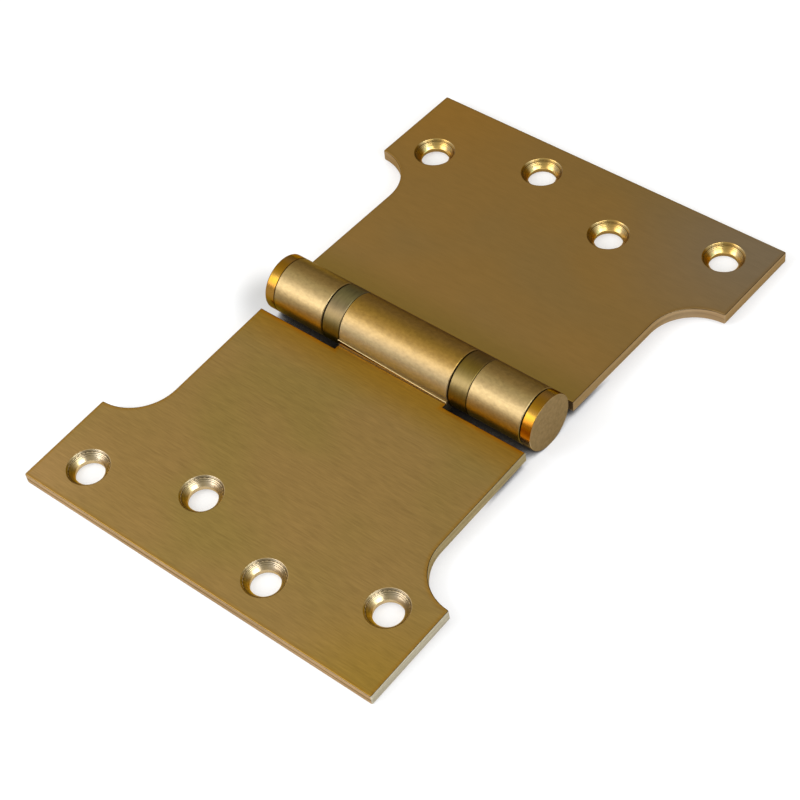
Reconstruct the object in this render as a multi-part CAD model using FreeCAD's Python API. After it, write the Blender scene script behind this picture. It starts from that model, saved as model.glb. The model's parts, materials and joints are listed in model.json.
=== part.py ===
import FreeCAD, Part
import math
import os

from FreeCAD import Vector

# A parliament hinge in brass with two ball bearings, laid open, countersunk faces up.
# Millimetres. The origin is the middle of the pin. X runs across the leaves, Y along
# the pin, Z up. The near leaf is on -X and carries the middle knuckle. The far leaf is
# on +X and carries the two outer knuckles, the pin and the caps.
# Each leaf is drawn flat on the +X side and then laid down to where it rests.

# Leaves
leaf_height = 102.0
leaf_reach = 76.0  # pin axis to a leaf's outer edge
leaf_thickness = 3.0
axis_above_face = 1.4  # pin axis above the countersunk faces
tab_width = 25.5  # the full-height strip that takes the screws
scallop_radius = 12.0  # the quarter circle between a tab and the waist
barrel_gap = 1.75  # a leaf's inner edge to the other leaf's knuckles
edge_radius = 0.3
tab_corner_radius = 0.4

# Screw holes, in two staggered rows
hole_count = 4
hole_end_inset = 11.0  # first and last hole from the leaf's ends
outer_row_inset = 9.6  # from the leaf's outer edge
row_spacing = 9.0
hole_radius = 3.5
sink_rim_radius = 5.15
sink_depth = 1.3
sink_foot_radius = 4.0
throat_step = 0.05  # the fine ledge between the sink's two cuts
throat_depth = 0.6  # the second cut, down to the hole

# Barrel, from the middle outwards
barrel_radius = 7.0
middle_knuckle_length = 31.7
bearing_height = 5.5
knuckle_chamfer = 0.15
root_step_reach = 0.5  # how far the step at a knuckle's root stands out of the barrel
root_step_round = 0.22
root_step_high = 1.8
root_step_low = 0.25
root_step_even = 1.0
root_groove_width = 0.25  # the fine groove along the foot of the step
root_groove_depth = 0.15

# Pin and end caps
pin_radius = 3.5
running_clearance = 0.05
pin_end_gap = 0.2
pin_chamfer = 0.3  # on the pin's ends and the caps' spigots
cap_thickness = 2.8
cap_spigot_length = 4.0  # from the disc's inner face
cap_rim_radius = 0.35
cap_seat_chamfer = 0.05
front_cap_stand = 0.3  # the cap at the -Y end is pressed in a little less far
back_cap_stand = 0.05

# Bearings
shell_wall = 0.5
shell_end_gap = 0.25  # a race stands out of its shell by this much
race_clearance = 0.08  # race on the pin
race_shell_clearance = 0.1  # the turning race inside the shell
ball_count = 8
ball_clearance = 0.03
groove_depth = 0.3
groove_clearance = 0.1
cage_wall = 0.2  # beside each pocket
cage_side_clearance = 0.25  # to the pin and to the shell
cage_end_clearance = 0.23  # to each race
pocket_clearance = 0.05

# How far one solid is drawn into or past another before they are joined or cut
overlap = 1.0

# Worked out from the sizes above
leaf_half_height = leaf_height / 2
waist_half_height = leaf_half_height - scallop_radius
face_z = -axis_above_face
back_z = face_z - leaf_thickness
inner_edge_x = barrel_radius + barrel_gap
tab_inner_x = leaf_reach - tab_width
middle_half = middle_knuckle_length / 2
outer_start = middle_half + bearing_height
outer_end = waist_half_height - cap_thickness - (front_cap_stand + back_cap_stand) / 2
pin_half = outer_end + min(front_cap_stand, back_cap_stand) - cap_spigot_length - pin_end_gap
hole_pitch = (leaf_height - 2 * hole_end_inset) / (hole_count - 1)
shell_inner_radius = barrel_radius - shell_wall
race_bore_radius = pin_radius + race_clearance
ball_pitch_radius = (pin_radius + shell_inner_radius) / 2
pocket_radius = (shell_inner_radius - pin_radius) / 2 - cage_side_clearance - cage_wall
ball_radius = pocket_radius - pocket_clearance
groove_radius = ball_radius + groove_clearance
race_gap = 2 * (ball_radius + ball_clearance - groove_depth)
race_thickness = (bearing_height - race_gap) / 2
cage_thickness = race_gap - 2 * cage_end_clearance


def rest_droop():
    """The angle at which the barrel and a leaf's outer lower edge touch one level surface."""
    edge_x = leaf_reach - edge_radius
    edge_z = -back_z - edge_radius
    span = math.hypot(edge_x, edge_z)
    return math.asin((barrel_radius - edge_radius) / span) - math.atan2(edge_z, edge_x)


def lay_down(shape, side):
    """Turn a leaf drawn flat on +X to its side of the pin, and let its outer edge drop."""
    pin = Vector(0, 0, 0)
    laid = shape.copy()
    laid.rotate(pin, Vector(0, 1, 0), math.degrees(rest_droop()))
    if side < 0:
        laid.rotate(pin, Vector(0, 0, 1), 180)
    return laid


def rod(radius, start, end):
    return Part.makeCylinder(radius, end - start, Vector(0, start, 0), Vector(0, 1, 0))


def ring(outer, inner, start, end):
    return rod(outer, start, end).cut(rod(inner, start, end))


def circular_edges(shape, radius, y):
    found = []
    for edge in shape.Edges:
        round_edge = isinstance(edge.Curve, Part.Circle) and abs(edge.Curve.Radius - radius) < 1e-6
        if round_edge and abs(edge.Curve.Center.y - y) < 1e-6:
            found.append(edge)
    return found


def leaf_plate():
    """The flat plate of a leaf: a tab for the screws and a waist reaching in to the barrel."""
    arc_middle = scallop_radius * math.sqrt(0.5)
    arc_x = tab_inner_x - scallop_radius
    edges = []
    for side in (1, -1):
        top = side * leaf_half_height
        waist = side * waist_half_height
        edges.append(Part.makeLine(Vector(inner_edge_x, waist, 0), Vector(arc_x, waist, 0)))
        scallop = Part.Arc(
            Vector(arc_x, waist, 0),
            Vector(arc_x + arc_middle, top - side * arc_middle, 0),
            Vector(tab_inner_x, top, 0),
        )
        edges.append(scallop.toShape())
        edges.append(Part.makeLine(Vector(tab_inner_x, top, 0), Vector(leaf_reach, top, 0)))
    for x, half in ((leaf_reach, leaf_half_height), (inner_edge_x, waist_half_height)):
        edges.append(Part.makeLine(Vector(x, -half, 0), Vector(x, half, 0)))
    outline = Part.Wire(Part.__sortEdges__(edges))
    plate = Part.Face(outline).extrude(Vector(0, 0, leaf_thickness))
    plate.translate(Vector(0, 0, back_z))

    corners = []
    for edge in plate.Edges:
        at_tab = edge.CenterOfMass.x > tab_inner_x - edge_radius
        upright = abs(edge.tangentAt(edge.FirstParameter).z) > 0.99
        if upright and at_tab:
            corners.append(edge)
    plate = plate.makeFillet(tab_corner_radius, corners)
    rim = []
    for edge in plate.Edges:
        if abs(edge.tangentAt(edge.FirstParameter).z) < 0.01:
            rim.append(edge)
    return plate.makeFillet(edge_radius, rim)


def screw_holes():
    """Four countersunk holes, each drawn as a section and turned about its own axis."""
    below = back_z - overlap
    above = face_z + overlap
    foot_z = face_z - sink_depth
    throat_z = foot_z - throat_depth
    slope = (sink_rim_radius - sink_foot_radius) / sink_depth
    section = [
        (0, below),
        (hole_radius, below),
        (hole_radius, throat_z),
        (sink_foot_radius - throat_step, foot_z),
        (sink_foot_radius, foot_z),
        (sink_rim_radius + slope * overlap, above),
        (0, above),
    ]
    points = [Vector(x, 0, z) for x, z in section]
    cutter = Part.Face(Part.makePolygon(points + points[:1]))
    cutter = cutter.revolve(Vector(0, 0, 0), Vector(0, 0, 1), 360)
    holes = []
    for index in range(hole_count):
        row = index % 2
        hole = cutter.copy()
        x = leaf_reach - outer_row_inset - row * row_spacing
        y = (index - (hole_count - 1) / 2) * hole_pitch
        hole.translate(Vector(x, y, 0))
        holes.append(hole)
    return holes


def root_step(start, end, start_height, end_height):
    """The low round-edged step along a knuckle's root, where its side meets the leaf's face."""
    wires = []
    foot = barrel_radius + root_step_reach
    inside = barrel_radius - overlap
    for y, height in ((start, start_height), (end, end_height)):
        top = face_z + height
        rounding = min(root_step_round, 0.8 * height)
        edge_in = rounding * (1 - math.sqrt(0.5))
        shoulder = Vector(foot, y, top - rounding)
        ledge = Vector(foot - rounding, y, top)
        edge_round = Part.Arc(shoulder, Vector(foot - edge_in, y, top - edge_in), ledge)
        low = Vector(foot, y, face_z - overlap)
        back_low = Vector(inside, y, face_z - overlap)
        back_top = Vector(inside, y, top)
        edges = [
            Part.makeLine(low, shoulder),
            edge_round.toShape(),
            Part.makeLine(ledge, back_top),
            Part.makeLine(back_top, back_low),
            Part.makeLine(back_low, low),
        ]
        wires.append(Part.Wire(edges))
    return Part.makeLoft(wires, True, True)


def root_groove(start, end):
    """The fine groove that the cutter leaves in the leaf's face along the foot of the step."""
    corner = Vector(barrel_radius + root_step_reach, start - overlap, face_z - root_groove_depth)
    return Part.makeBox(root_groove_width, end - start + 2 * overlap, root_groove_depth + overlap, corner)


def knuckle(start, end, bore, step_heights):
    """A stretch of barrel on its neck, which runs on into the plate."""
    barrel = rod(barrel_radius, start, end)
    rims = circular_edges(barrel, barrel_radius, start) + circular_edges(barrel, barrel_radius, end)
    barrel = barrel.makeChamfer(knuckle_chamfer, rims)
    neck_length = inner_edge_x + edge_radius + overlap
    neck = Part.makeBox(neck_length, end - start, leaf_thickness, Vector(0, start, back_z))
    solid = barrel.fuse([neck, root_step(start, end, *step_heights)])
    return solid.cut([rod(bore, start, end), root_groove(start, end)])


def leaf(knuckles, side):
    solid = leaf_plate().fuse(knuckles)
    solid = solid.cut(screw_holes())
    return lay_down(solid.removeSplitter(), side)


def near_leaf():
    heights = (root_step_high, root_step_low)
    bore = pin_radius + running_clearance
    return leaf([knuckle(-middle_half, middle_half, bore, heights)], -1)


def far_leaf():
    heights = (root_step_even, root_step_even)
    knuckles = []
    for start, end in ((-outer_end, -outer_start), (outer_start, outer_end)):
        knuckles.append(knuckle(start, end, pin_radius, heights))
    return leaf(knuckles, 1)


def hinge_pin():
    pin = rod(pin_radius, -pin_half, pin_half)
    rims = circular_edges(pin, pin_radius, -pin_half) + circular_edges(pin, pin_radius, pin_half)
    return pin.makeChamfer(pin_chamfer, rims)


def end_cap(stand, side):
    """A turned cap: a disc the size of the barrel on a spigot that is pressed in the bore."""
    inner_y = outer_end + stand
    outer_y = inner_y + cap_thickness
    disc = rod(barrel_radius, inner_y, outer_y)
    disc = disc.makeFillet(cap_rim_radius, circular_edges(disc, barrel_radius, outer_y))
    disc = disc.makeChamfer(cap_seat_chamfer, circular_edges(disc, barrel_radius, inner_y))
    tip_y = inner_y - cap_spigot_length
    spigot = rod(pin_radius, tip_y, inner_y)
    spigot = spigot.makeChamfer(pin_chamfer, circular_edges(spigot, pin_radius, tip_y))
    cap = disc.fuse(spigot).removeSplitter()
    if side < 0:
        cap.rotate(Vector(0, 0, 0), Vector(0, 0, 1), 180)
    return cap


def to_end(shape, end):
    """Bearings are drawn on the +Y side of the middle knuckle and turned to their own end."""
    if end < 0:
        shape.rotate(Vector(0, 0, 0), Vector(0, 0, 1), 180)
    return shape


def bearing_shell(end):
    start = middle_half + shell_end_gap
    stop = outer_start - shell_end_gap
    shell = ring(barrel_radius, shell_inner_radius, start, stop)
    rims = circular_edges(shell, barrel_radius, start) + circular_edges(shell, barrel_radius, stop)
    return to_end(shell.makeChamfer(knuckle_chamfer, rims), end)


def ball_groove(face_y, direction):
    """The round-bottomed track that the balls run in, cut into one face of a race."""
    centre = Vector(ball_pitch_radius, face_y - direction * (groove_radius - groove_depth), 0)
    circle = Part.makeCircle(groove_radius, centre, Vector(0, 0, 1))
    disc = Part.Face(Part.Wire(circle))
    return disc.revolve(Vector(0, 0, 0), Vector(0, 1, 0), 360)


def inner_race(end):
    """The race that lies against the middle knuckle and turns inside the shell."""
    face_y = middle_half + race_thickness
    rim = shell_inner_radius - race_shell_clearance
    race = ring(rim, race_bore_radius, middle_half, face_y)
    return to_end(race.cut(ball_groove(face_y, -1)), end)


def outer_race(end):
    """The race that is pressed in the shell and lies against the outer knuckle."""
    face_y = outer_start - race_thickness
    race = ring(shell_inner_radius, race_bore_radius, face_y, outer_start)
    return to_end(race.cut(ball_groove(face_y, 1)), end)


def ball_places(end):
    middle_y = middle_half + bearing_height / 2
    places = []
    for index in range(ball_count):
        turn = 2 * math.pi * (index + 0.5) / ball_count
        x = ball_pitch_radius * math.cos(turn)
        z = ball_pitch_radius * math.sin(turn)
        places.append(Vector(x, end * middle_y, z))
    return places


def ball_cage(end):
    middle_y = end * (middle_half + bearing_height / 2)
    half = cage_thickness / 2
    width = pocket_radius + cage_wall
    cage = ring(ball_pitch_radius + width, ball_pitch_radius - width, middle_y - half, middle_y + half)
    pockets = []
    for place in ball_places(end):
        start = place - Vector(0, cage_thickness, 0)
        pockets.append(Part.makeCylinder(pocket_radius, 2 * cage_thickness, start, Vector(0, 1, 0)))
    return cage.cut(pockets)


def bearing(name, end):
    pieces = {
        name + "_bearing_shell": bearing_shell(end),
        name + "_inner_race": inner_race(end),
        name + "_outer_race": outer_race(end),
        name + "_ball_cage": ball_cage(end),
    }
    for index, place in enumerate(ball_places(end)):
        pieces[name + "_ball_" + str(index + 1)] = Part.makeSphere(ball_radius, place)
    return pieces


def all_pieces():
    pieces = {
        "near_leaf": near_leaf(),
        "far_leaf": far_leaf(),
        "hinge_pin": hinge_pin(),
        "front_cap": end_cap(front_cap_stand, -1),
        "back_cap": end_cap(back_cap_stand, 1),
    }
    pieces.update(bearing("front", -1))
    pieces.update(bearing("back", 1))
    return pieces


os.makedirs("parts", exist_ok=True)
print("droop at rest", round(math.degrees(rest_droop()), 4), "degrees")
for name, shape in all_pieces().items():
    solid = shape.Solids[0] if len(shape.Solids) == 1 else shape
    print(name, solid.ShapeType, "valid", solid.isValid(), "volume", round(solid.Volume, 2))
    solid.exportStep("parts/" + name + ".step")
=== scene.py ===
import json
import math

import bmesh
import bpy
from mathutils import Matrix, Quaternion, Vector


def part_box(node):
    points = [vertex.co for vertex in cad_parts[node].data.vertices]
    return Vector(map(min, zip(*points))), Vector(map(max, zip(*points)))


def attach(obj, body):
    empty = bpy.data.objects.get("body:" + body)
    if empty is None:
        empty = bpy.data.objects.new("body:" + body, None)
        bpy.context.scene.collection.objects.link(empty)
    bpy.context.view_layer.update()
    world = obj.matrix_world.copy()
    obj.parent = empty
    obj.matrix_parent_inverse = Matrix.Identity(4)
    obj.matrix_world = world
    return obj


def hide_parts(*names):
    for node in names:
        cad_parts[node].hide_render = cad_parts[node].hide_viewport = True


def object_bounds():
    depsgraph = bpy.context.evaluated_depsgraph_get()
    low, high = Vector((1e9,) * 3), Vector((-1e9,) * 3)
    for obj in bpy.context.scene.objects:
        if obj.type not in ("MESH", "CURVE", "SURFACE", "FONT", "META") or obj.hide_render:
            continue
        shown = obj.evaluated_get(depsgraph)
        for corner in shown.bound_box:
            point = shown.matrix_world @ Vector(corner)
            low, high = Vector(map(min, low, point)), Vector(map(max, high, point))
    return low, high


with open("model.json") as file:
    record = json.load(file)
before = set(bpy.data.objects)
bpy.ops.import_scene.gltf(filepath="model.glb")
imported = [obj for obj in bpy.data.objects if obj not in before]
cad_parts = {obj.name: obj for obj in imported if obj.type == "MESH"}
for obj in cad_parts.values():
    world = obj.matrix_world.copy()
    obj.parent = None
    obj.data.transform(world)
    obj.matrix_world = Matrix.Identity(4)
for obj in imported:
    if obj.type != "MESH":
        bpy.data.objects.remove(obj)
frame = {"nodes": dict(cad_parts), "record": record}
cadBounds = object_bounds()
nodes = frame["nodes"]
record = frame["record"]
mm = 0.001
print("frame loaded:", len(nodes), "pieces")

# sizes that several pieces share
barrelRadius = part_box("front_bearing_shell")[1].x
floorHeight = cadBounds[0].z
innerEdge = 8.75 * mm  # a leaf's inner edge, from the pin's axis
sinkRim = 5.15 * mm  # radius of a countersink at the face
leafFace = -1.4 * mm  # the countersunk faces, measured from the pin along a leaf's own upright
leafBack = -4.4 * mm


def screwMount(leaf, row):
    name = leaf + "_leaf_" + row + "_screws"
    return next(mount for mount in record["mounts"] if mount["name"] == name)


def screwPlaces(leaf):
    # two holes of each row, half a pitch circle to either side of the row's mount
    places = []
    for row in ("outer", "inner"):
        mount = screwMount(leaf, row)
        reach = mount["dims"]["pcd_mm"] * mm / 2
        for side in (-1, 1):
            places.append(Vector(mount["pos_m"]) + Vector((0, side * reach, 0)))
    return places


def faceAxis(leaf):
    # the way a leaf's countersunk face looks
    return Vector(screwMount(leaf, "outer")["axis"])


# node helpers, for shader trees and geometry trees alike

def socket(sockets, key):
    if isinstance(key, int):
        return sockets[key]
    return next(s for s in sockets if s.name == key and s.enabled)


def addNode(tree, kind, inputs=None, **settings):
    node = tree.nodes.new(kind)
    for name, value in settings.items():
        setattr(node, name, value)
    for key, value in (inputs or {}).items():
        target = socket(node.inputs, key)
        if isinstance(value, bpy.types.NodeSocket):
            tree.links.new(value, target)
        else:
            target.default_value = value
    return node


def maths(tree, operation, first, second=0.0):
    return addNode(tree, "ShaderNodeMath", {0: first, 1: second}, operation=operation).outputs[0]


def rise(tree, value, low, high):
    # 0 below low, 1 above high, smooth in between
    limits = {"Value": value, "From Min": low, "From Max": high}
    return addNode(tree, "ShaderNodeMapRange", limits, interpolation_type="SMOOTHSTEP").outputs[0]


def fall(tree, value, low, high):
    # 1 below low, 0 above high
    return maths(tree, "SUBTRACT", 1.0, rise(tree, value, low, high))


def swing(tree, noise, share):
    # noise taken about its middle value, so that it adds as much as it takes away
    return maths(tree, "MULTIPLY", maths(tree, "SUBTRACT", noise, 0.5), share)


def split(tree, vector):
    return addNode(tree, "ShaderNodeSeparateXYZ", {0: vector}).outputs


def joined(tree, x, y=0.0, z=0.0):
    return addNode(tree, "ShaderNodeCombineXYZ", {0: x, 1: y, 2: z}).outputs[0]


def distance(tree, first, second):
    inputs = {0: first, 1: second}
    return addNode(tree, "ShaderNodeVectorMath", inputs, operation="DISTANCE").outputs["Value"]


def scaled(tree, colour, factor):
    inputs = {0: colour, "Scale": factor}
    return addNode(tree, "ShaderNodeVectorMath", inputs, operation="SCALE").outputs[0]


def blendColour(tree, share, first, second):
    inputs = {"Factor": share, "A": first, "B": second}
    return socket(addNode(tree, "ShaderNodeMix", inputs, data_type="RGBA").outputs, "Result")


def blendValue(tree, share, first, second):
    inputs = {"Factor": share, "A": first, "B": second}
    return socket(addNode(tree, "ShaderNodeMix", inputs, data_type="FLOAT").outputs, "Result")


def rgba(colour):
    return (*colour, 1.0)


def newMaterial(name):
    material = bpy.data.materials.new(name)
    material.use_nodes = True
    material.node_tree.nodes.clear()
    return material, material.node_tree


def streaks(tree, place, scale, detail=2.0):
    # noise drawn out along one axis: scale is how many waves a metre along X, Y and Z
    stretched = addNode(tree, "ShaderNodeVectorMath", {0: place, 1: scale}, operation="MULTIPLY").outputs[0]
    noise = {"Vector": stretched, "Scale": 1.0, "Detail": detail, "Roughness": 0.6}
    return addNode(tree, "ShaderNodeTexNoise", noise).outputs[0]


def finishMetal(tree, colour, roughness, height, depth, edgeTint=(0.68, 0.52, 0.30)):
    # edgeTint is the colour that the metal keeps where it is seen at a low angle
    bump = addNode(tree, "ShaderNodeBump", {"Height": height, "Strength": 1.0, "Distance": depth})
    shader = addNode(
        tree,
        "ShaderNodeBsdfPrincipled",
        {
            "Base Color": colour,
            "Metallic": 1.0,
            "Roughness": roughness,
            "Specular Tint": rgba(edgeTint),
            "Normal": bump.outputs[0],
        },
    )
    addNode(tree, "ShaderNodeOutputMaterial", {"Surface": shader.outputs[0]})


def roundPin(tree, normal):
    # how far a surface of the barrel is turned from straight up towards the near leaf
    nx, _, nz = split(tree, normal)
    return maths(tree, "ARCTAN2", maths(tree, "MULTIPLY", nx, -1.0), nz)


def roundHole(tree, normal):
    # the side of its hole that a wall stands on, from +X
    nx, ny, _ = split(tree, normal)
    return maths(tree, "ARCTAN2", maths(tree, "MULTIPLY", ny, -1.0), maths(tree, "MULTIPLY", nx, -1.0))


def paintedLightBand(tree, turn, tones):
    # painted light and shade: colours set out round an axis by which way the surface faces, each at its turn
    # in degrees
    share = maths(tree, "ADD", maths(tree, "DIVIDE", turn, 2 * math.pi), 0.5)
    ramp = addNode(tree, "ShaderNodeValToRGB", {0: share})
    band = ramp.color_ramp
    band.interpolation = "CARDINAL"
    band.elements.remove(band.elements[1])
    for i, (degrees, colour) in enumerate(tones):
        # a new stop goes in at the far end first, so that the earlier ones keep their order
        stop = band.elements[0] if i == 0 else band.elements.new(0.999)
        stop.position = degrees / 360 + 0.5
        stop.color = rgba(colour)
    return ramp.outputs["Color"]


grainRoughness = 0.1  # how far the grain moves the roughness of the turned pieces


def plainFinish(name, colour, roughness, waves, share=0.06, depth=0.003 * mm, **tint):
    # colour is one colour, or tones of painted light and shade to set out round the pin
    material, tree = newMaterial(name)
    coords = addNode(tree, "ShaderNodeTexCoord").outputs
    grain = streaks(tree, coords["Object"], waves)
    if isinstance(colour[0], tuple):
        colour = paintedLightBand(tree, roundPin(tree, coords["Normal"]), colour)
    light = maths(tree, "ADD", 1.0 - share / 2, maths(tree, "MULTIPLY", grain, share))
    rough = maths(tree, "ADD", roughness, swing(tree, grain, grainRoughness))
    finishMetal(tree, scaled(tree, colour, light), rough, grain, depth, **tint)
    return material


# the leaves: CAD nodes with a finish for each of their surfaces

nearLook = {
    "face": (0.355, 0.228, 0.076),
    "faceOlive": (0.325, 0.225, 0.066),
    "faceWarm": (0.338, 0.188, 0.024),
    # painted light: a cooler corner and a sunnier corner of the face, as the room lights them
    "faceCool": (0.415, 0.262, 0.100),
    "coolCorner": (-76 * mm, 51 * mm),
    "coolReach": 26 * mm,
    "faceSunny": (0.358, 0.226, 0.044),
    "sunnyCorner": (-76 * mm, -51 * mm),
    "sunnyReach": 30 * mm,
    "cornerCore": 2 * mm,
    "edgeTone": (0.350, 0.180, 0.020),  # a deeper, more orange tone along the outline
    "edgeShare": 0.6,
    "edgeCore": 0.25 * mm,
    "edgeReach": 1.2 * mm,
    "innerTone": (0.375, 0.145, 0.000),
    "innerShare": 0.75,
    "innerCore": 0.1 * mm,
    "innerReach": 1.6 * mm,
    "freeEdge": (-1, 16.0 * mm),  # the inner edge is free beyond the middle knuckle
    # painted shade: the bevel is painted dark
    "bevel": (0.085, 0.055, 0.022),
    # painted reflection: the cut sides' pale tones stand in for the floor they reflect, on the near leaf
    # paler towards the tabs
    "rim": (0.450, 0.322, 0.205),
    # a dark scored line round the outer sides: height, half widths of its core and fade, how dark
    "rimLine": (-2.85 * mm, 0.10 * mm, 0.32 * mm, 0.60),
    "waistEnd": (0.365, 0.305, 0.178),
    "tabEnd": (0.475, 0.450, 0.360),
    "endChange": (41 * mm, 48 * mm),  # where the waist's tone gives way to the tab's
    # painted light and shade round the barrel: a tone for each turn from straight up, in degrees
    "barrelPaintedLight": (
        (-180, (0.300, 0.205, 0.085)),
        (-105, (0.300, 0.200, 0.075)),
        (-60, (0.190, 0.112, 0.045)),
        (-40, (0.235, 0.143, 0.055)),
        (-18, (0.322, 0.186, 0.050)),
        (4, (0.284, 0.166, 0.030)),
        (22, (0.312, 0.190, 0.050)),
        (35, (0.300, 0.196, 0.073)),
        (47, (0.245, 0.168, 0.074)),
        (54, (0.264, 0.188, 0.090)),
        (63, (0.325, 0.252, 0.135)),
        (74, (0.320, 0.278, 0.200)),
        (90, (0.270, 0.250, 0.205)),
        (128, (0.300, 0.205, 0.085)),
        (180, (0.300, 0.205, 0.085)),
    ),
    "stepTop": (0.31, 0.225, 0.105),
    # painted highlight: the step's upright face is painted brighter than its top
    "stepFaceHighlight": (0.60, 0.44, 0.21),
    # painted shade: a near black line in the groove along the step's foot
    "groove": (0.06, 0.035, 0.012),
    "well": (0.62, 0.47, 0.26),
    "faceRoughness": 0.42,
    "rimRoughness": 0.42,
    "barrelRoughness": 0.43,
    "roughnessSwing": 0.12,
    "brushWaves": (3200, 240, 3200),
    "broadWaves": (900, 150, 900),
    "patchWaves": (38, 30, 38),
    "patchChange": (0.40, 0.68),
    "mottleWaves": (1500, 900, 1500),
    "edgeWaves": (30, 30, 1300),  # the cut edges are drawn along the plate
    "edgeLines": 1.2,
    "turnWaves": (60, 2600, 60),
    "brushShare": 0.55,
    "turnShare": 0.20,
    "broadShare": 0.13,
    "mottleShare": 0.72,
    "brushDepth": 0.006 * mm,
    "warmReach": 11.0 * mm,
    # where one surface gives way to the next, as distances or as a share of the normal
    "barrelFade": (0.05 * mm, 0.2 * mm),  # out from the barrel
    "sideTilt": (0.75, 0.95),  # from a cut side to a face
    "bevelTilt": (0.45, 0.60),
    "endTilt": (0.35, 0.75),  # from a side to an end
    "stepTilt": (0.35, 0.75),
    "seatFade": (-0.05 * mm, 0.03 * mm),  # round a countersink's rim
    "backFade": (0.02 * mm, 0.08 * mm),  # up from the back
    "stepFade": (-0.5 * mm, -0.3 * mm),  # down from the face
    "footFade": 0.02 * mm,
}
farLook = dict(
    nearLook,
    face=(0.388, 0.233, 0.070),
    faceOlive=(0.362, 0.228, 0.076),
    well=(0.30, 0.18, 0.05),
    faceWarm=(0.320, 0.207, 0.050),
    # painted light: a cooler corner and a sunnier corner of the face, as the room lights them
    faceCool=(0.330, 0.250, 0.155),
    coolCorner=(76 * mm, -51 * mm),
    coolReach=48 * mm,
    faceSunny=(0.440, 0.240, 0.055),
    sunnyCorner=(76 * mm, 51 * mm),
    sunnyReach=46 * mm,
    edgeTone=(0.33, 0.18, 0.04),
    edgeShare=0.35,
    innerShare=0.3,
    freeEdge=(1, 21.2 * mm),  # and between the two outer ones
    # painted reflection: the far leaf's cut sides are painted more golden
    rim=(0.33, 0.22, 0.115),
    rimLine=(-2.85 * mm, 0.10 * mm, 0.32 * mm, 0.15),
    waistEnd=(0.34, 0.238, 0.128),
    tabEnd=(0.34, 0.235, 0.128),
    # painted light and shade round the barrel: a tone for each turn from straight up, in degrees
    barrelPaintedLight=(
        (-180, (0.300, 0.205, 0.085)),
        (-105, (0.300, 0.200, 0.080)),
        (-60, (0.255, 0.170, 0.070)),
        (-40, (0.250, 0.163, 0.062)),
        (-15, (0.340, 0.215, 0.068)),
        (0, (0.315, 0.206, 0.068)),
        (14, (0.325, 0.235, 0.095)),
        (30, (0.340, 0.243, 0.110)),
        (40, (0.312, 0.222, 0.101)),
        (54, (0.278, 0.193, 0.085)),
        (63, (0.244, 0.166, 0.068)),
        (74, (0.228, 0.155, 0.056)),
        (88, (0.270, 0.172, 0.020)),
        (128, (0.300, 0.205, 0.085)),
        (180, (0.300, 0.205, 0.085)),
    ),
    brushShare=0.20,
    turnShare=0.14,
    broadShare=0.11,
    brushDepth=0.003 * mm,
)
outline = {
    "reach": 76 * mm,
    "half": 51 * mm,  # half of a tab's height
    "waist": 39 * mm,
    "scallopX": 38.5 * mm,
    "scallopRadius": 12 * mm,
}
stepFoot = (7.46 * mm, 7.74 * mm)  # the groove along the foot of a knuckle's step


def fromOutline(tree, out, up):
    # how far a place on a leaf's face lies inside the leaf's outer edges
    outer = maths(tree, "SUBTRACT", outline["reach"], out)
    end = maths(tree, "SUBTRACT", outline["half"], up)
    beyondWaist = maths(tree, "SUBTRACT", out, outline["scallopX"])
    waist = maths(tree, "MAXIMUM", maths(tree, "SUBTRACT", outline["waist"], up), beyondWaist)
    centre = (outline["scallopX"], outline["half"], 0.0)
    away = distance(tree, joined(tree, out, up), centre)
    scallop = maths(tree, "SUBTRACT", away, outline["scallopRadius"])
    nearest = outer
    for side in (end, waist, scallop):
        nearest = maths(tree, "MINIMUM", nearest, side)
    return nearest


def fromInnerEdge(tree, out, up, freeEdge):
    # how far it lies from the edge beside the barrel, where no knuckle grows out of that edge
    sign, reach = freeEdge
    held = maths(tree, "SUBTRACT", maths(tree, "MULTIPLY", up, sign), sign * reach)
    return maths(tree, "MAXIMUM", maths(tree, "SUBTRACT", out, innerEdge), held)


def fromHole(tree, leaf, x, y):
    # how far a place lies from the middle of the nearest screw hole
    nearest = None
    for hole in screwPlaces(leaf):
        gap = distance(tree, joined(tree, x, y, hole.z), hole)
        nearest = gap if nearest is None else maths(tree, "MINIMUM", nearest, gap)
    return nearest


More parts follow.
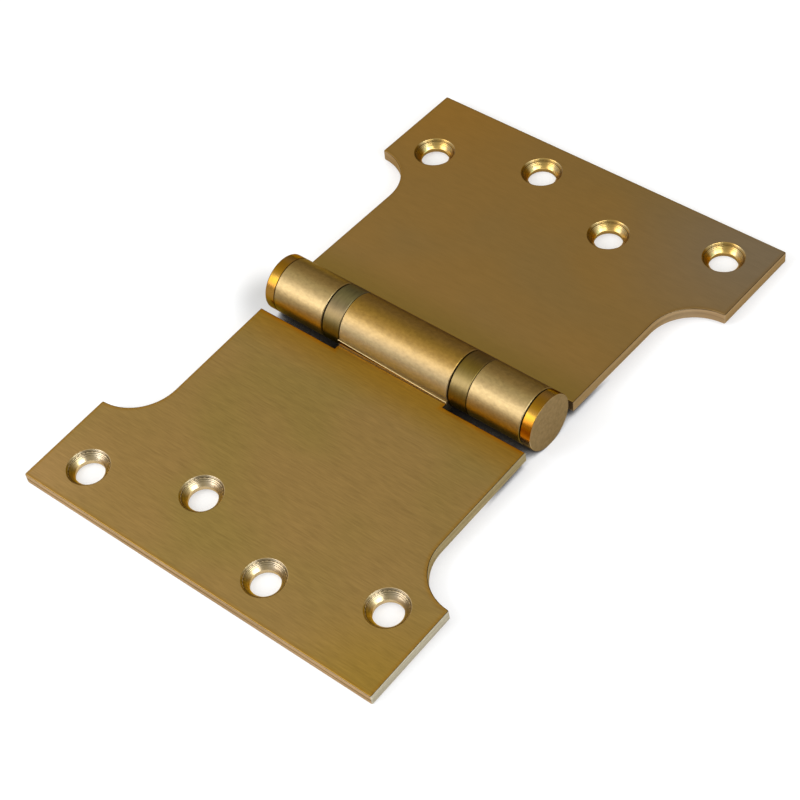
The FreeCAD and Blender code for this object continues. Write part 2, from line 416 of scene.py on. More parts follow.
def leafFinish(leaf, look):
    material, tree = newMaterial(leaf + "LeafBrass")
    coords = addNode(tree, "ShaderNodeTexCoord").outputs
    place = coords["Object"]
    x, y, z = split(tree, place)
    _, ny, nz = split(tree, coords["Normal"])
    out = maths(tree, "ABSOLUTE", x)
    up = maths(tree, "ABSOLUTE", y)
    level = maths(tree, "ABSOLUTE", nz)
    axis = {0: place, 1: faceAxis(leaf)}
    height = addNode(tree, "ShaderNodeVectorMath", axis, operation="DOT_PRODUCT").outputs["Value"]

    # where each surface is: the barrel round the pin, the cut sides and their ends
    squares = maths(tree, "ADD", maths(tree, "MULTIPLY", x, x), maths(tree, "MULTIPLY", z, z))
    fromPin = maths(tree, "SQRT", squares)
    onPlate = rise(tree, fromPin, *(barrelRadius + fade for fade in look["barrelFade"]))
    upright = fall(tree, level, *look["sideTilt"])
    endward = rise(tree, maths(tree, "ABSOLUTE", ny), *look["endTilt"])

    # the screw wells, and the step and groove at the knuckles, none of which reach the back
    outsideSeat = rise(tree, fromHole(tree, leaf, x, y), *(sinkRim + fade for fade in look["seatFade"]))
    onBack = fall(tree, height, *(leafBack + fade for fade in look["backFade"]))
    outsideSeat = maths(tree, "MAXIMUM", outsideSeat, onBack)
    belowStep = fall(tree, height, *(leafFace + fade for fade in look["stepFade"]))
    offStep = rise(tree, out, stepFoot[0], stepFoot[0] + look["footFade"])
    offStep = maths(tree, "MAXIMUM", offStep, belowStep)
    halfGroove = (stepFoot[1] - stepFoot[0]) / 2
    offGroove = maths(tree, "ABSOLUTE", maths(tree, "SUBTRACT", out, sum(stepFoot) / 2))
    offGroove = rise(tree, offGroove, halfGroove - look["footFade"], halfGroove)

    # fine straight brushing along the pin on the faces, turning marks round the barrel
    brush = streaks(tree, place, look["brushWaves"], 3.0)
    broad = streaks(tree, place, look["broadWaves"])
    turning = streaks(tree, place, look["turnWaves"])
    patch = streaks(tree, place, look["patchWaves"], 1.0)
    mottle = streaks(tree, place, look["mottleWaves"], 4.0)

    # the faces: patches, painted light on two corners that the room lights otherwise, a deeper tone along the
    # edges
    olive = rise(tree, patch, *look["patchChange"])
    face = blendColour(tree, olive, rgba(look["face"]), rgba(look["faceOlive"]))
    warm = fall(tree, out, innerEdge, innerEdge + look["warmReach"])
    face = blendColour(tree, warm, face, rgba(look["faceWarm"]))
    flatPlace = joined(tree, x, y)
    # painted light on the two corners
    for kind in ("cool", "sunny"):
        away = distance(tree, flatPlace, (*look[kind + "Corner"], 0.0))
        close = fall(tree, away, look["cornerCore"], look[kind + "Reach"])
        face = blendColour(tree, close, face, rgba(look["face" + kind.capitalize()]))
    edge = fall(tree, fromOutline(tree, out, up), look["edgeCore"], look["edgeReach"])
    edge = maths(tree, "MULTIPLY", edge, look["edgeShare"])
    face = blendColour(tree, edge, face, rgba(look["edgeTone"]))
    beside = fromInnerEdge(tree, out, up, look["freeEdge"])
    inner = fall(tree, beside, look["innerCore"], look["innerReach"])
    inner = maths(tree, "MULTIPLY", inner, look["innerShare"])
    face = blendColour(tree, inner, face, rgba(look["innerTone"]))

    # the cut sides, with drawn lines along them and one scored line; their tones are painted reflection and
    # the bevel is painted shade
    end = blendColour(tree, rise(tree, up, *look["endChange"]), rgba(look["waistEnd"]), rgba(look["tabEnd"]))
    side = blendColour(tree, endward, rgba(look["rim"]), end)
    lines = swing(tree, streaks(tree, place, look["edgeWaves"], 3.0), look["edgeLines"])
    lines = maths(tree, "ADD", 1.0, lines)
    middle, halfCore, halfFade, dark = look["rimLine"]
    offLine = maths(tree, "ABSOLUTE", maths(tree, "SUBTRACT", height, middle))
    offLine = maths(tree, "MAXIMUM", rise(tree, offLine, halfCore, halfFade), endward)
    lines = maths(tree, "MULTIPLY", lines, blendValue(tree, offLine, 1 - dark, 1.0))
    side = scaled(tree, side, lines)
    # painted shade on the bevel
    side = blendColour(tree, rise(tree, level, *look["bevelTilt"]), side, rgba(look["bevel"]))

    # all surfaces together
    colour = blendColour(tree, upright, face, side)
    colour = blendColour(tree, outsideSeat, rgba(look["well"]), colour)
    # painted highlight on the step's upright face, painted shade in the groove at its foot
    step = blendColour(tree, rise(tree, nz, *look["stepTilt"]), rgba(look["stepFaceHighlight"]), rgba(look["stepTop"]))
    colour = blendColour(tree, offStep, step, colour)
    colour = blendColour(tree, maths(tree, "MAXIMUM", offGroove, belowStep), rgba(look["groove"]), colour)
    # painted light and shade round the barrel
    barrel = paintedLightBand(tree, roundPin(tree, coords["Normal"]), look["barrelPaintedLight"])
    colour = blendColour(tree, onPlate, barrel, colour)
    grain = blendValue(tree, onPlate, turning, brush)
    coarse = blendValue(tree, onPlate, mottle, broad)
    coarseShare = blendValue(tree, onPlate, look["mottleShare"], look["broadShare"])
    grainShare = blendValue(tree, onPlate, look["turnShare"], look["brushShare"])
    light = maths(tree, "ADD", swing(tree, grain, grainShare), swing(tree, coarse, coarseShare))
    light = maths(tree, "ADD", light, 1.0)

    rough = blendValue(tree, upright, look["faceRoughness"], look["rimRoughness"])
    rough = blendValue(tree, onPlate, look["barrelRoughness"], rough)
    rough = maths(tree, "ADD", rough, swing(tree, grain, look["roughnessSwing"]))
    finishMetal(tree, scaled(tree, colour, light), rough, grain, look["brushDepth"])
    return material


for leafName, leafLook in (("near", nearLook), ("far", farLook)):
    leafNode = nodes[leafName + "_leaf"]
    leafNode.data.materials.clear()
    leafNode.data.materials.append(leafFinish(leafName, leafLook))
print("leaves finished")


# turned pieces: a section spun round the pin by one geometry tree

mergeReach = 0.5e-6  # closes the seam and the ends on the axis
endFacing = 0.8  # a face that looks along the axis by more than this gets the end finish


def geometryTree(name, wanted):
    # an empty tree with named inputs, and the sockets that give them
    tree = bpy.data.node_groups.new(name, "GeometryNodeTree")
    tree.is_modifier = True
    for title, kind in wanted:
        tree.interface.new_socket(title, in_out="INPUT", socket_type="NodeSocket" + kind)
    tree.interface.new_socket("Geometry", in_out="OUTPUT", socket_type="NodeSocketGeometry")
    return tree, addNode(tree, "NodeGroupInput").outputs


def painted(tree, geometry, finish, **where):
    inputs = {"Geometry": geometry, "Material": finish, **where}
    return addNode(tree, "GeometryNodeSetMaterial", inputs).outputs[0]


def realized(tree, geometry):
    return addNode(tree, "GeometryNodeRealizeInstances", {"Geometry": geometry}).outputs[0]


def turnedTree():
    wanted = (
        ("Section", "Geometry"),
        ("Steps", "Int"),
        ("Side finish", "Material"),
        ("End finish", "Material"),
    )
    tree, given = geometryTree("turnedPiece", wanted)
    size = addNode(tree, "GeometryNodeAttributeDomainSize", {"Geometry": given["Section"]}, component="MESH")
    points = size.outputs["Point Count"]
    columns = maths(tree, "ADD", given["Steps"], 1.0)
    sheet = {"Size X": 1.0, "Size Y": 1.0, "Vertices X": columns, "Vertices Y": points}
    grid = addNode(tree, "GeometryNodeMeshGrid", sheet).outputs["Mesh"]
    index = addNode(tree, "GeometryNodeInputIndex").outputs[0]
    column = maths(tree, "FLOOR", maths(tree, "DIVIDE", maths(tree, "ADD", index, 0.5), points))
    row = maths(tree, "SUBTRACT", index, maths(tree, "MULTIPLY", column, points))
    turn = maths(tree, "MULTIPLY", maths(tree, "DIVIDE", column, given["Steps"]), 2 * math.pi)
    position = addNode(tree, "GeometryNodeInputPosition").outputs[0]
    wantedPoint = {"Geometry": given["Section"], "Value": position, "Index": row}
    kinds = {"data_type": "FLOAT_VECTOR", "domain": "POINT"}
    sample = addNode(tree, "GeometryNodeSampleIndex", wantedPoint, **kinds).outputs[0]
    radius, along, _ = split(tree, sample)
    across = maths(tree, "MULTIPLY", radius, maths(tree, "COSINE", turn))
    upward = maths(tree, "MULTIPLY", radius, maths(tree, "SINE", turn))
    spun = joined(tree, across, along, upward)
    placed = addNode(tree, "GeometryNodeSetPosition", {"Geometry": grid, "Position": spun}).outputs[0]
    seam = {"Geometry": placed, "Distance": mergeReach}
    closed = addNode(tree, "GeometryNodeMergeByDistance", seam).outputs[0]
    sided = painted(tree, closed, given["Side finish"])
    normal = addNode(tree, "GeometryNodeInputNormal").outputs[0]
    facing = maths(tree, "ABSOLUTE", split(tree, normal)[1])
    flat = maths(tree, "GREATER_THAN", facing, endFacing)
    ended = painted(tree, sided, given["End finish"], Selection=flat)
    addNode(tree, "NodeGroupOutput", {"Geometry": realized(tree, ended)})
    return tree


def grow(name, mesh, tree, values):
    # runs a geometry tree on a mesh and keeps the result as a plain mesh
    piece = bpy.data.objects.new(name, mesh)
    bpy.context.scene.collection.objects.link(piece)
    modifier = piece.modifiers.new("grow", "NODES")
    modifier.node_group = tree
    for item in tree.interface.items_tree:
        if item.name in values and item.in_out == "INPUT":
            modifier[item.identifier] = values[item.name]
    depsgraph = bpy.context.evaluated_depsgraph_get()
    made = bpy.data.meshes.new_from_object(piece.evaluated_get(depsgraph))
    piece.modifiers.remove(modifier)
    piece.data = made
    made.name = name
    tidyMesh(made)
    return piece


def tidyMesh(mesh, sharpAngle=32):
    work = bmesh.new()
    work.from_mesh(mesh)
    bmesh.ops.recalc_face_normals(work, faces=work.faces)
    for face in work.faces:
        face.smooth = True
    work.to_mesh(mesh)
    work.free()
    mesh.set_sharp_from_angle(angle=math.radians(sharpAngle))


def sectionMesh(name, points):
    mesh = bpy.data.meshes.new(name)
    edges = [(i, i + 1) for i in range(len(points) - 1)]
    mesh.from_pydata([(r, y, 0.0) for r, y in points], edges, [])
    return mesh


def arcPoints(centre, radius, start, stop, count):
    points = []
    for i in range(count + 1):
        angle = math.radians(start + (stop - start) * i / count)
        points.append((centre[0] + radius * math.cos(angle), centre[1] + radius * math.sin(angle)))
    return points


def markAt(turns):
    # a row of round-bottomed marks: 0 at each whole turn and 1 half way between
    return 0.5 - 0.5 * math.cos(2 * math.pi * turns)


spinTree = turnedTree()


# the countersinks' turned walls: one section spun and set on each screw place of a leaf

seatLook = {
    "steps": 144,
    "foot": (4.0 * mm, 1.3 * mm),  # radius and depth where the outer cone ends
    "throat": (3.5 * mm, 1.9 * mm),
    "skin": 0.10 * mm,  # how far the turned wall stands out of the cut
    "throatSkin": 0.035 * mm,
    "buried": 0.25 * mm,
    "lip": 0.002 * mm,  # the rim and the wall's shoulder lie this far below the face
    "shoulder": 0.05 * mm,
    "fineRings": 6,
    "fineDepth": 0.004 * mm,
    "grooves": (  # deeper marks: share of the way down, width, depth and how dark the painted shade in it is
        (0.10, 0.22 * mm, 0.020 * mm, 0.35),
        (0.31, 0.40 * mm, 0.055 * mm, 0.74),
        (0.56, 0.22 * mm, 0.020 * mm, 0.36),
        (0.78, 0.20 * mm, 0.014 * mm, 0.28),
    ),
    "grooveCore": 0.02 * mm,
    "ringWaves": 3200,  # finer marks between them, waves a metre outwards
    "ringShare": 1.4,
    # painted reflection: the throat is painted lighter
    "throatPaintedLight": 1.3,
    "throatFade": 0.1 * mm,
    "ringDepth": 0.002 * mm,
    "samples": 70,
    # painted light and shade round each hole of the near leaf: a tone for each side of the hole, in degrees
    # from +X
    "near": (
        (-180, (0.46, 0.31, 0.110)),
        (-60, (0.27, 0.190, 0.085)),
        (-30, (0.25, 0.190, 0.110)),
        (0, (0.31, 0.235, 0.145)),
        (20, (0.42, 0.345, 0.230)),
        (42, (0.44, 0.350, 0.200)),
        (62, (0.44, 0.345, 0.205)),
        (80, (0.42, 0.335, 0.180)),
        (98, (0.66, 0.500, 0.230)),
        (112, (0.44, 0.290, 0.090)),
        (125, (0.36, 0.220, 0.030)),
        (142, (0.47, 0.275, 0.035)),
        (160, (0.46, 0.290, 0.060)),
    ),
    # painted light and shade round each hole of the far leaf: a tone for each side of the hole, in degrees
    # from +X
    "far": (
        (-180, (0.45, 0.36, 0.200)),
        (-60, (0.37, 0.280, 0.150)),
        (-20, (0.44, 0.330, 0.160)),
        (0, (0.42, 0.260, 0.080)),
        (20, (0.42, 0.270, 0.080)),
        (40, (0.50, 0.345, 0.110)),
        (62, (0.42, 0.280, 0.100)),
        (82, (1.00, 0.760, 0.330)),
        (98, (0.38, 0.215, 0.040)),
        (140, (0.40, 0.230, 0.060)),
        (170, (0.42, 0.300, 0.120)),
    ),
    "roughness": 0.29,
}


def ringedWall(start, stop, look):
    # a straight wall of the section with shallow round-bottomed tool marks and deeper pointed ones
    points = []
    run, drop = stop[0] - start[0], stop[1] - start[1]
    length = math.hypot(run, drop)
    for i in range(look["samples"] + 1):
        share = i / look["samples"]
        dip = look["fineDepth"] * markAt(look["fineRings"] * share)
        for place, width, deep, _ in look["grooves"]:
            dip += deep * max(0.0, 1 - abs(share - place) * 2 * length / width)
        radius = start[0] + run * share - drop / length * dip
        points.append((radius, start[1] + drop * share + run / length * dip))
    return points


def seatSection(look):
    # radius and height above the face, from the rim down to the bore and back inside the metal
    skin, buried = look["skin"], look["buried"]
    footRadius, footDepth = look["foot"]
    throatRadius, throatDepth = look["throat"]
    rim = (sinkRim, -look["lip"])
    shoulder = (sinkRim - skin, -look["shoulder"])
    foot = (footRadius - skin, -footDepth)
    throat = throatRadius - look["throatSkin"]
    bottom = -throatDepth - buried
    points = [rim] + ringedWall(shoulder, foot, look)
    points += [(throat, -throatDepth), (throat, bottom), (throatRadius + buried, bottom)]
    points += [(footRadius + buried, -footDepth), (sinkRim + buried / 2, -buried)]
    return points + [rim]


def seatFinish(leaf, look):
    # brass with fine turned rings; the deeper marks are painted darker as shade, the throat is painted
    # lighter as reflection, and painted light and shade is set out round each hole
    material, tree = newMaterial(leaf + "SeatBrass")
    coords = addNode(tree, "ShaderNodeTexCoord").outputs
    x, y, _ = split(tree, coords["Object"])
    radius = fromHole(tree, leaf, x, y)
    rings = streaks(tree, joined(tree, radius), (look["ringWaves"], 1, 1), 2.0)
    light = maths(tree, "ADD", swing(tree, rings, look["ringShare"]), 1.0)
    wallTop = sinkRim - look["skin"]
    run = sinkRim - look["foot"][0]
    # painted shade in each deeper mark
    for share, width, _, dark in look["grooves"]:
        off = maths(tree, "ABSOLUTE", maths(tree, "SUBTRACT", radius, wallTop - run * share))
        offGroove = rise(tree, off, look["grooveCore"], width / 2)
        light = maths(tree, "MULTIPLY", light, blendValue(tree, offGroove, 1 - dark, 1.0))
    throatEdge = look["foot"][0] - look["skin"] - look["throatFade"]
    inThroat = fall(tree, radius, throatEdge, look["foot"][0])
    light = maths(tree, "MULTIPLY", light, blendValue(tree, inThroat, 1.0, look["throatPaintedLight"]))
    tone = paintedLightBand(tree, roundHole(tree, coords["Normal"]), look[leaf])
    finishMetal(tree, scaled(tree, tone, light), look["roughness"], rings, look["ringDepth"])
    return material


def seatTree():
    wanted = (
        ("Places", "Geometry"),
        ("Section", "Object"),
        ("Steps", "Int"),
        ("Lean", "Vector"),
        ("Finish", "Material"),
    )
    tree, given = geometryTree("turnedSeats", wanted)
    section = addNode(tree, "GeometryNodeObjectInfo", {"Object": given["Section"]}).outputs["Geometry"]
    spin = {"Section": section, "Steps": given["Steps"]}
    spin.update({"Side finish": given["Finish"], "End finish": given["Finish"]})
    seat = addNode(tree, "GeometryNodeGroup", spin, node_tree=spinTree).outputs[0]
    points = addNode(tree, "GeometryNodeMeshToPoints", {"Mesh": given["Places"]}).outputs[0]
    each = {"Points": points, "Instance": seat, "Rotation": given["Lean"]}
    placed = addNode(tree, "GeometryNodeInstanceOnPoints", each).outputs[0]
    finished = painted(tree, realized(tree, placed), given["Finish"])
    addNode(tree, "NodeGroupOutput", {"Geometry": finished})
    return tree


def faceHeight(place, normal):
    # from a hole's mount, which lies half way down its straight wall, up to the countersunk face
    return leafFace - (place - Vector((0, place.y, 0))).dot(normal)


seats = seatTree()
for leaf in ("near", "far"):
    normal = faceAxis(leaf)
    places = [place + normal * faceHeight(place, normal) for place in screwPlaces(leaf)]
    holeMesh = bpy.data.meshes.new(leaf + "HolePlaces")
    holeMesh.from_pydata(places, [], [])
    section = sectionMesh(leaf + "SeatSection", seatSection(seatLook))
    sectionObject = bpy.data.objects.new(leaf + "SeatSection", section)
    bpy.context.scene.collection.objects.link(sectionObject)
    values = {
        "Section": sectionObject,
        "Steps": seatLook["steps"],
        "Lean": (math.pi / 2, math.atan2(normal.x, normal.z), 0.0),
        "Finish": seatFinish(leaf, seatLook),
    }
    seatRing = grow(leaf + "Seats", holeMesh, seats, values)
    bpy.data.objects.remove(sectionObject)
    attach(seatRing, leaf)
print("countersinks turned")


# the caps: a turned head with a facing-marked disc, and a spigot in the knuckle

capLook = {
    "steps": 160,
    "discRings": 34,  # fine facing marks on the outer disc
    "discRingDepth": 0.0025 * mm,
    "rim": {"front": 0.12 * mm, "back": 0.35 * mm},
    "rimStart": 84,  # degrees: where the rounded rim leaves the disc
    "rimSteps": 8,
    "seam": {"front": 0.17 * mm, "back": 0.08 * mm},  # the relief under each cap's head
    "seamDepth": {"front": 0.35 * mm, "back": 0.10 * mm},
    "spigotRadius": 3.5 * mm,
    "spigotLength": 4.0 * mm,
    "spigotChamfer": 0.3 * mm,
    "thickness": 2.8 * mm,
    # painted light and shade round the pin on the caps' sides: a tone for each turn in degrees
    "side": (
        (-180, (0.36, 0.235, 0.075)),
        (-105, (0.34, 0.220, 0.070)),
        (-60, (0.12, 0.070, 0.030)),
        (-42, (0.22, 0.130, 0.035)),
        (-25, (0.42, 0.235, 0.070)),
        (-10, (0.40, 0.205, 0.045)),
        (0, (0.28, 0.138, 0.015)),
        (12, (0.218, 0.104, 0.008)),
        (24, (0.25, 0.128, 0.010)),
        (32, (0.30, 0.162, 0.026)),
        (40, (0.27, 0.148, 0.014)),
    ),
    # painted light and shade on each cap's lower side, one list for each cap
    "foot": {
        "front": (
            (50, (0.24, 0.098, 0.009)),
            (62, (0.235, 0.078, 0.002)),
            (76, (0.240, 0.096, 0.004)),
            (84, (0.420, 0.235, 0.060)),
            (96, (0.760, 0.560, 0.300)),
            (116, (0.500, 0.380, 0.200)),
            (140, (0.36, 0.235, 0.075)),
            (180, (0.36, 0.235, 0.075)),
        ),
        "back": (
            (50, (0.240, 0.110, 0.016)),
            (62, (0.262, 0.134, 0.026)),
            (76, (0.270, 0.138, 0.029)),
            (86, (0.230, 0.130, 0.030)),
            (98, (0.195, 0.160, 0.090)),
            (116, (0.240, 0.160, 0.060)),
            (140, (0.36, 0.235, 0.075)),
            (180, (0.36, 0.235, 0.075)),
        ),
    },
    "sideTint": (0.6, 0.38, 0.14),
    "sideRoughness": 0.25,
    "sideWaves": (60, 3000, 60),
    "sideShare": 0.04,
    "sideDepth": 0.001 * mm,
    "disc": (0.262, 0.190, 0.104),
    "discRoughness": 0.42,
    "discWaves": (1300, 60, 1300),
    "discShare": 0.75,
    "discDepth": 0.012 * mm,
}


def capSection(end, look):
    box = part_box(end + "_cap")
    outer = box[1].y if end == "back" else -box[0].y
    inner = outer - look["thickness"]
    rim, seam, seamRadius = look["rim"][end], look["seam"][end], barrelRadius - look["seamDepth"][end]
    flat = barrelRadius - rim
    points = [(0.0, outer)]
    samples = 4 * look["discRings"]  # four points to each mark
    for i in range(1, samples):
        points.append((flat * i / samples, outer - look["discRingDepth"] * markAt(i / 4)))
    points += [(flat, outer)]
    points += arcPoints((flat, outer - rim), rim, look["rimStart"], 0, look["rimSteps"])
    points += [(barrelRadius, inner + seam), (seamRadius, inner + seam), (seamRadius, inner)]
    spigot, chamfer = look["spigotRadius"], look["spigotChamfer"]
    tip = inner - look["spigotLength"]
    points += [(spigot, inner), (spigot, tip + chamfer), (spigot - chamfer, tip), (0.0, tip)]
    side = 1 if end == "back" else -1
    return [(r, side * y) for r, y in points]


capDisc = plainFinish(
    "capDiscBrass",
    capLook["disc"],
    capLook["discRoughness"],
    capLook["discWaves"],
    capLook["discShare"],
    capLook["discDepth"],
)
for end in ("front", "back"):
    # painted light and shade round the pin on each cap's side
    capSide = plainFinish(
        end + "CapSideBrass",
        capLook["side"] + capLook["foot"][end],
        capLook["sideRoughness"],
        capLook["sideWaves"],
        capLook["sideShare"],
        capLook["sideDepth"],
        edgeTint=capLook["sideTint"],
    )
    section = sectionMesh(end + "CapSection", capSection(end, capLook))
    values = {"Steps": capLook["steps"], "Side finish": capSide, "End finish": capDisc}
    cap = grow(end + "Cap", section, spinTree, values)
    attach(cap, "far")
    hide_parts(end + "_cap")
print("caps turned")


# the bearing shells: darker rings with fine turned lines, and painted light and shade round the pin

shellLook = {
    "steps": 160,
    "grooves": 16,  # fine turned lines round each shell
    "grooveDepth": 0.006 * mm,
    "chamfer": 0.15 * mm,
    "wall": 0.5 * mm,
    # painted light and shade round the pin, a tone for each turn in degrees, for each shell
    "front": (
        (-180, (0.165, 0.118, 0.050)),
        (-80, (0.165, 0.118, 0.050)),
        (-40, (0.155, 0.100, 0.050)),
        (-10, (0.170, 0.106, 0.030)),
        (10, (0.152, 0.100, 0.018)),
        (24, (0.165, 0.116, 0.032)),
        (40, (0.178, 0.126, 0.047)),
        (50, (0.185, 0.130, 0.050)),
        (60, (0.150, 0.105, 0.036)),
        (72, (0.122, 0.084, 0.020)),
        (86, (0.140, 0.090, 0.010)),
        (104, (0.115, 0.072, 0.008)),
        (136, (0.165, 0.118, 0.050)),
        (180, (0.165, 0.118, 0.050)),
    ),
    "back": (
        (-180, (0.165, 0.118, 0.050)),
        (-80, (0.165, 0.118, 0.050)),
        (-40, (0.135, 0.110, 0.066)),
        (-10, (0.185, 0.157, 0.067)),
        (10, (0.175, 0.145, 0.063)),
        (24, (0.162, 0.125, 0.062)),
        (40, (0.158, 0.110, 0.050)),
        (60, (0.128, 0.092, 0.034)),
        (74, (0.105, 0.077, 0.018)),
        (90, (0.120, 0.090, 0.012)),
        (108, (0.090, 0.060, 0.005)),
        (136, (0.165, 0.118, 0.050)),
        (180, (0.165, 0.118, 0.050)),
    ),
    "roughness": 0.44,
    "waves": (400, 1900, 400),
    "share": 0.62,
    "depth": 0.009 * mm,
    "shift": 0.14 * mm,  # each shell sits a little nearer the front end
}


def shellSection(end, look):
    low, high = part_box(end + "_bearing_shell")
    start, stop = low.y - look["shift"], high.y - look["shift"]
    inside = barrelRadius - look["wall"]
    chamfer = look["chamfer"]
    points = [(inside, start), (barrelRadius - chamfer, start), (barrelRadius, start + chamfer)]
    first, last = start + chamfer, stop - chamfer
    samples = 6 * look["grooves"]  # six points to each line
    for i in range(1, samples):
        dip = look["grooveDepth"] * markAt(i / 6)
        points.append((barrelRadius - dip, first + (last - first) * i / samples))
    points += [(barrelRadius, last), (barrelRadius - chamfer, stop), (inside, stop), (inside, start)]
    return points


for end in ("front", "back"):
    shellBrass = plainFinish(
        end + "ShellBrass",
        shellLook[end],
        shellLook["roughness"],
        shellLook["waves"],
        shellLook["share"],
        shellLook["depth"],
    )
    section = sectionMesh(end + "ShellSection", shellSection(end, shellLook))
    values = {"Steps": shellLook["steps"], "Side finish": shellBrass, "End finish": shellBrass}
    shell = grow(end + "BearingShell", section, spinTree, values)
    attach(shell, "far")
    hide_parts(end + "_bearing_shell")
print("bearing shells turned")


# the balls of each bearing, instanced round the pin

ballLook = {
    "count": 8,
    "segments": 28,
    "rings": 16,
    "colour": (0.55, 0.55, 0.56),
    "roughness": 0.12,
    "waves": (400, 400, 400),
    "share": 0.03,
    "depth": 0.0005 * mm,
}


def ballTree(look):
    wanted = (
        ("Count", "Int"),
        ("Pitch radius", "Float"),
        ("Ball radius", "Float"),
        ("Along", "Float"),
        ("First turn", "Float"),
        ("Finish", "Material"),
    )
    tree, given = geometryTree("ballRing", wanted)
    index = addNode(tree, "GeometryNodeInputIndex").outputs[0]
    share = maths(tree, "DIVIDE", index, given["Count"])
    turn = maths(tree, "ADD", maths(tree, "MULTIPLY", share, 2 * math.pi), given["First turn"])
    across = maths(tree, "MULTIPLY", given["Pitch radius"], maths(tree, "COSINE", turn))
    upward = maths(tree, "MULTIPLY", given["Pitch radius"], maths(tree, "SINE", turn))
    place = joined(tree, across, given["Along"], upward)
    points = addNode(tree, "GeometryNodePoints", {"Count": given["Count"], "Position": place}).outputs[0]
    sphere = {"Segments": look["segments"], "Rings": look["rings"], "Radius": given["Ball radius"]}
    ball = addNode(tree, "GeometryNodeMeshUVSphere", sphere).outputs["Mesh"]
    each = {"Points": points, "Instance": ball}
    placed = addNode(tree, "GeometryNodeInstanceOnPoints", each).outputs[0]
    finished = painted(tree, realized(tree, placed), given["Finish"])
    addNode(tree, "NodeGroupOutput", {"Geometry": finished})
    return tree


ballSteel = plainFinish(
    "ballSteel",
    ballLook["colour"],
    ballLook["roughness"],
    ballLook["waves"],
    ballLook["share"],
    ballLook["depth"],
)
balls = ballTree(ballLook)
for end in ("front", "back"):
    names = [end + "_ball_" + str(i + 1) for i in range(ballLook["count"])]
    low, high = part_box(names[0])
    middle = (low + high) / 2
    values = {
        "Count": ballLook["count"],
        "Pitch radius": math.hypot(middle.x, middle.z),
        "Ball radius": (high.x - low.x) / 2,
        "Along": middle.y,
        "First turn": math.atan2(middle.z, middle.x),
        "Finish": ballSteel,
    }
    ballRing = grow(end + "Balls", bpy.data.meshes.new(end + "BallStart"), balls, values)
    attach(ballRing, end + "_cage")
    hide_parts(*names)
print("balls placed")


# what the barrel hides: pin, races and cages keep their CAD shape

innerLook = {
    "pin": {"colour": (0.50, 0.50, 0.50), "roughness": 0.25, "waves": (60, 2600, 60)},
    "race": {"colour": (0.05, 0.047, 0.044), "roughness": 0.38, "waves": (60, 2600, 60)},
    "cage": {"colour": (0.42, 0.29, 0.10), "roughness": 0.35, "waves": (800, 200, 800)},
}
for kind, names in (
    ("pin", ["hinge_pin"]),
    ("race", ["front_inner_race", "front_outer_race", "back_inner_race", "back_outer_race"]),
    ("cage", ["front_ball_cage", "back_ball_cage"]),
):
    look = innerLook[kind]
    finish = plainFinish(kind + "Metal", look["colour"], look["roughness"], look["waves"])
    for name in names:
        nodes[name].data.materials.clear()
        nodes[name].data.materials.append(finish)
print("inner pieces finished")


# floor, studio and camera

floorLook = {
    "size": 6.0,
    "white": (0.60, 0.60, 0.60),
    "under": (0.05, 0.043, 0.036),  # painted shade on the floor beside the barrel, where the object all but covers it
    "underReach": (14 * mm, 24 * mm),
    "lift": 0.43,
    # the soft shadow beyond the back cap
    "capShadow": {"place": (-2 * mm, 43 * mm), "reach": (3 * mm, 12 * mm), "depth": 0.33},
    "shadeReach": 30 * mm,
    "shadeFade": (0.20, 0.50),
}


def floorFinish(look):
    # plain white, lifted to paper white for the camera and for reflections, but not close under the object;
    # painted shade beside the barrel and a painted shadow beyond the back cap
    material, tree = newMaterial("floorWhite")
    around = addNode(tree, "ShaderNodeAmbientOcclusion", {"Distance": look["shadeReach"]}).outputs["AO"]
    place = addNode(tree, "ShaderNodeTexCoord").outputs["Object"]
    across, along, _ = split(tree, place)
    beside = rise(tree, maths(tree, "ABSOLUTE", across), *look["underReach"])
    clear = maths(tree, "MAXIMUM", beside, rise(tree, around, *look["shadeFade"]))
    # painted shade where the floor lies beside the barrel and is covered
    colour = blendColour(tree, clear, rgba(look["under"]), rgba(look["white"]))
    # painted shadow beyond the back cap
    shadow = look["capShadow"]
    away = distance(tree, joined(tree, across, along), (*shadow["place"], 0.0))
    lit = blendValue(tree, rise(tree, away, *shadow["reach"]), 1 - shadow["depth"], 1.0)
    diffuse = addNode(tree, "ShaderNodeBsdfDiffuse", {"Color": scaled(tree, colour, lit)}).outputs[0]
    rays = addNode(tree, "ShaderNodeLightPath").outputs
    seen = maths(tree, "MAXIMUM", rays["Is Camera Ray"], rays["Is Glossy Ray"])
    seen = maths(tree, "MAXIMUM", seen, rays["Is Transmission Ray"])
    strength = maths(tree, "MULTIPLY", maths(tree, "MULTIPLY", seen, clear), lit)
    strength = maths(tree, "MULTIPLY", strength, look["lift"])
    lift = addNode(tree, "ShaderNodeEmission", {"Strength": strength}).outputs[0]
    both = addNode(tree, "ShaderNodeAddShader", {0: diffuse, 1: lift}).outputs[0]
    addNode(tree, "ShaderNodeOutputMaterial", {"Surface": both})
    return material


floorMesh = bpy.data.meshes.new("studioFloor")
half = floorLook["size"] / 2
corners = [(-half, -half), (half, -half), (half, half), (-half, half)]
floorMesh.from_pydata([(x, y, floorHeight) for x, y in corners], [], [(0, 1, 2, 3)])
floorMesh.materials.append(floorFinish(floorLook))
floor = bpy.data.objects.new("studioFloor", floorMesh)
bpy.context.scene.collection.objects.link(floor)

world = bpy.data.worlds.new("studio")
bpy.context.scene.world = world
world.use_nodes = True
worldLook = {
    "colour": (1.03, 0.99, 0.90),
    "walls": 0.37,
    # brighter and darker parts: compass turn from +X and height in degrees, how narrow, how much
    "glows": (
        (125, 50, 3.0, 0.93),
        (95, 60, 14.0, 0.10),
        (150, 2, 12.0, 0.27),
        (28, -4, 7.0, -0.23),
    ),
}


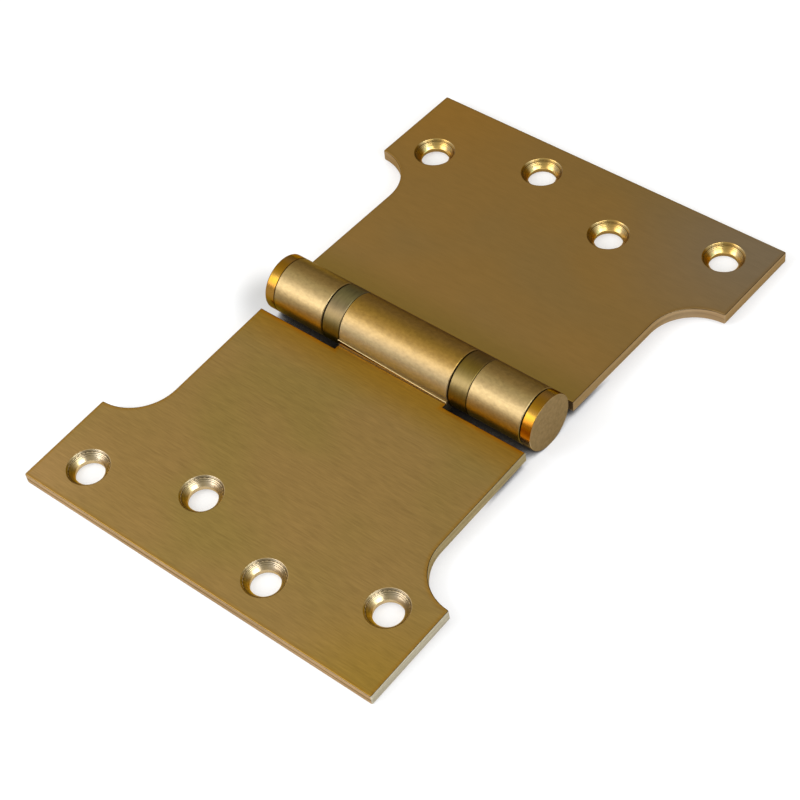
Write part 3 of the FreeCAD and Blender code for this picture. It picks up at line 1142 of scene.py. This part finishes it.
def skyward(turn, up):
    # the way towards a compass turn from +X and a height, both in degrees
    turn, up = math.radians(turn), math.radians(up)
    return Vector((math.cos(turn) * math.cos(up), math.sin(turn) * math.cos(up), math.sin(up)))


def lightWorld(tree, look):
    # even walls with broad soft glows
    way = addNode(tree, "ShaderNodeTexCoord").outputs["Generated"]
    strength = look["walls"]
    for turn, up, narrow, amount in look["glows"]:
        middle = skyward(turn, up)
        both = {0: way, 1: middle}
        toward = addNode(tree, "ShaderNodeVectorMath", both, operation="DOT_PRODUCT").outputs["Value"]
        glow = maths(tree, "POWER", maths(tree, "MAXIMUM", toward, 0.0), narrow)
        strength = maths(tree, "ADD", strength, maths(tree, "MULTIPLY", glow, amount))
    background = tree.nodes["Background"]
    background.inputs["Color"].default_value = rgba(look["colour"])
    tree.links.new(strength, background.inputs["Strength"])


lightWorld(world.node_tree, worldLook)

# two soft boxes, one each side of the camera: compass turn from +X and height in degrees
softBoxes = {
    "left": {"turn": 147, "rise": 30, "far": 0.62, "wide": 0.34, "high": 0.38, "power": 2.25},
    "right": {"turn": -100, "rise": 30, "far": 0.62, "wide": 0.42, "high": 0.36, "power": 2.6},
}
lampColour = (0.94, 1.0, 1.12)
for name, box in softBoxes.items():
    lamp = bpy.data.lights.new(name + "SoftBox", "AREA")
    lamp.shape = "RECTANGLE"
    lamp.size = box["wide"]
    lamp.size_y = box["high"]
    lamp.energy = box["power"]
    lamp.color = lampColour
    holder = bpy.data.objects.new(name + "SoftBox", lamp)
    away = skyward(box["turn"], box["rise"])
    holder.location = away * box["far"]
    holder.rotation_mode = "QUATERNION"
    holder.rotation_quaternion = away.to_track_quat("Z", "Y")
    bpy.context.scene.collection.objects.link(holder)

cameraLook = {
    "place": (-0.23479, -0.23918, 0.35767),
    "aim": (-0.0135, -0.0077, 0.0),
    "roll": -8.98,  # degrees
    "lens": 97.0,
    "nearest": 0.01,
}
camera = bpy.data.objects.new("camera", bpy.data.cameras.new("camera"))
camera.data.lens = cameraLook["lens"]
camera.data.clip_start = cameraLook["nearest"]
camera.location = cameraLook["place"]
sight = Vector(cameraLook["aim"]) - Vector(cameraLook["place"])
camera.rotation_mode = "QUATERNION"
roll = Quaternion((0, 0, 1), math.radians(cameraLook["roll"]))
camera.rotation_quaternion = sight.to_track_quat("-Z", "Y") @ roll
bpy.context.scene.collection.objects.link(camera)
bpy.context.scene.camera = camera
bpy.context.scene.view_settings.view_transform = "Standard"
print("floor, lights and camera set")
